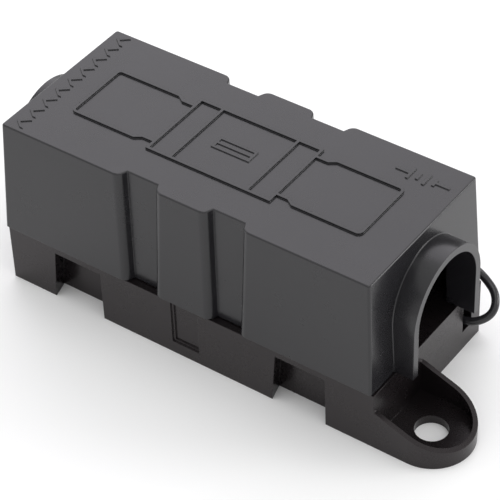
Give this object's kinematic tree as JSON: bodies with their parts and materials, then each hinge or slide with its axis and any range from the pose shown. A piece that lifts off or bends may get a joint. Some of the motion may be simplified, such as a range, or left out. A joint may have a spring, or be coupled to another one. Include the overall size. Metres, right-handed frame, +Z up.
{
  "type": "bolt-down fuse holder",
  "caption": "Bolt-down holder for a strip fuse: ribbed base with diagonal mounting ears, threaded studs and nuts, and a lift-off cover with arched cable collars and a moulded tether.",
  "frame": {"origin": "midway between the two mounting holes, on the plane the base stands on", "axes": "+X along the holder towards the tether end, +Y to the back (tether) side, +Z up out of the cover's roof"},
  "size_m": [0.1216, 0.0427, 0.0405],
  "materials": {
    "base_plastic": "satin, fine spark-eroded grain",
    "cover_plastic": "satin, fine spark-eroded grain",
    "tether_plastic": "satin",
    "zinc_steel": "bright zinc plate",
    "zinc_steel_washer": "bright zinc plate",
    "zinc_steel_nut": "bright zinc plate",
    "spring_steel": "zinc plate, darker",
    "fuse_metal": "tin plate over copper alloy",
    "fuse_case": "matt",
    "fuse_pin": "satin"
  },
  "bodies": {
    "base": {"base_moulding": "base_plastic", "terminal_studs": "zinc_steel", "flat_washers": "zinc_steel_washer", "fuse_element": "fuse_metal", "fuse_case_lower": "fuse_case", "fuse_case_upper": "fuse_case", "fuse_pins": "fuse_pin"},
    "cover": {"cover": "cover_plastic", "cover_tether": "tether_plastic"},
    "far_washer": {"spring_washer_far": "spring_steel"},
    "far_nut": {"nut_far": "zinc_steel_nut"},
    "near_washer": {"spring_washer_near": "spring_steel"},
    "near_nut": {"nut_near": "zinc_steel_nut"}
  },
  "joints": [
    {"name": "cover_tilt", "type": "hinge", "parent": "base", "child": "cover", "pos_m": [0.04475, 0, 0.0139], "axis": [0, 1, 0], "range_deg": [0, 75], "deforming": ["cover_tether"]},
    {"name": "far_nut_rise", "type": "slide", "parent": "base", "child": "far_washer", "axis": [0, 0, 1], "range_m": [0, 0.00376]},
    {"name": "far_nut_turn", "type": "hinge", "parent": "far_washer", "child": "far_nut", "pos_m": [-0.0254, 0, 0.0236], "axis": [0, 0, 1], "range_deg": [0, 1080]},
    {"name": "near_nut_rise", "type": "slide", "parent": "base", "child": "near_washer", "axis": [0, 0, 1], "range_m": [0, 0.00376]},
    {"name": "near_nut_turn", "type": "hinge", "parent": "near_washer", "child": "near_nut", "pos_m": [0.0254, 0, 0.0236], "axis": [0, 0, 1], "range_deg": [0, 1080]}
  ],
  "couplings": [
    {"joint": "far_nut_rise", "follows": "far_nut_turn", "m_per_rad": 0.00019894},
    {"joint": "near_nut_rise", "follows": "near_nut_turn", "m_per_rad": 0.00019894}
  ]
}
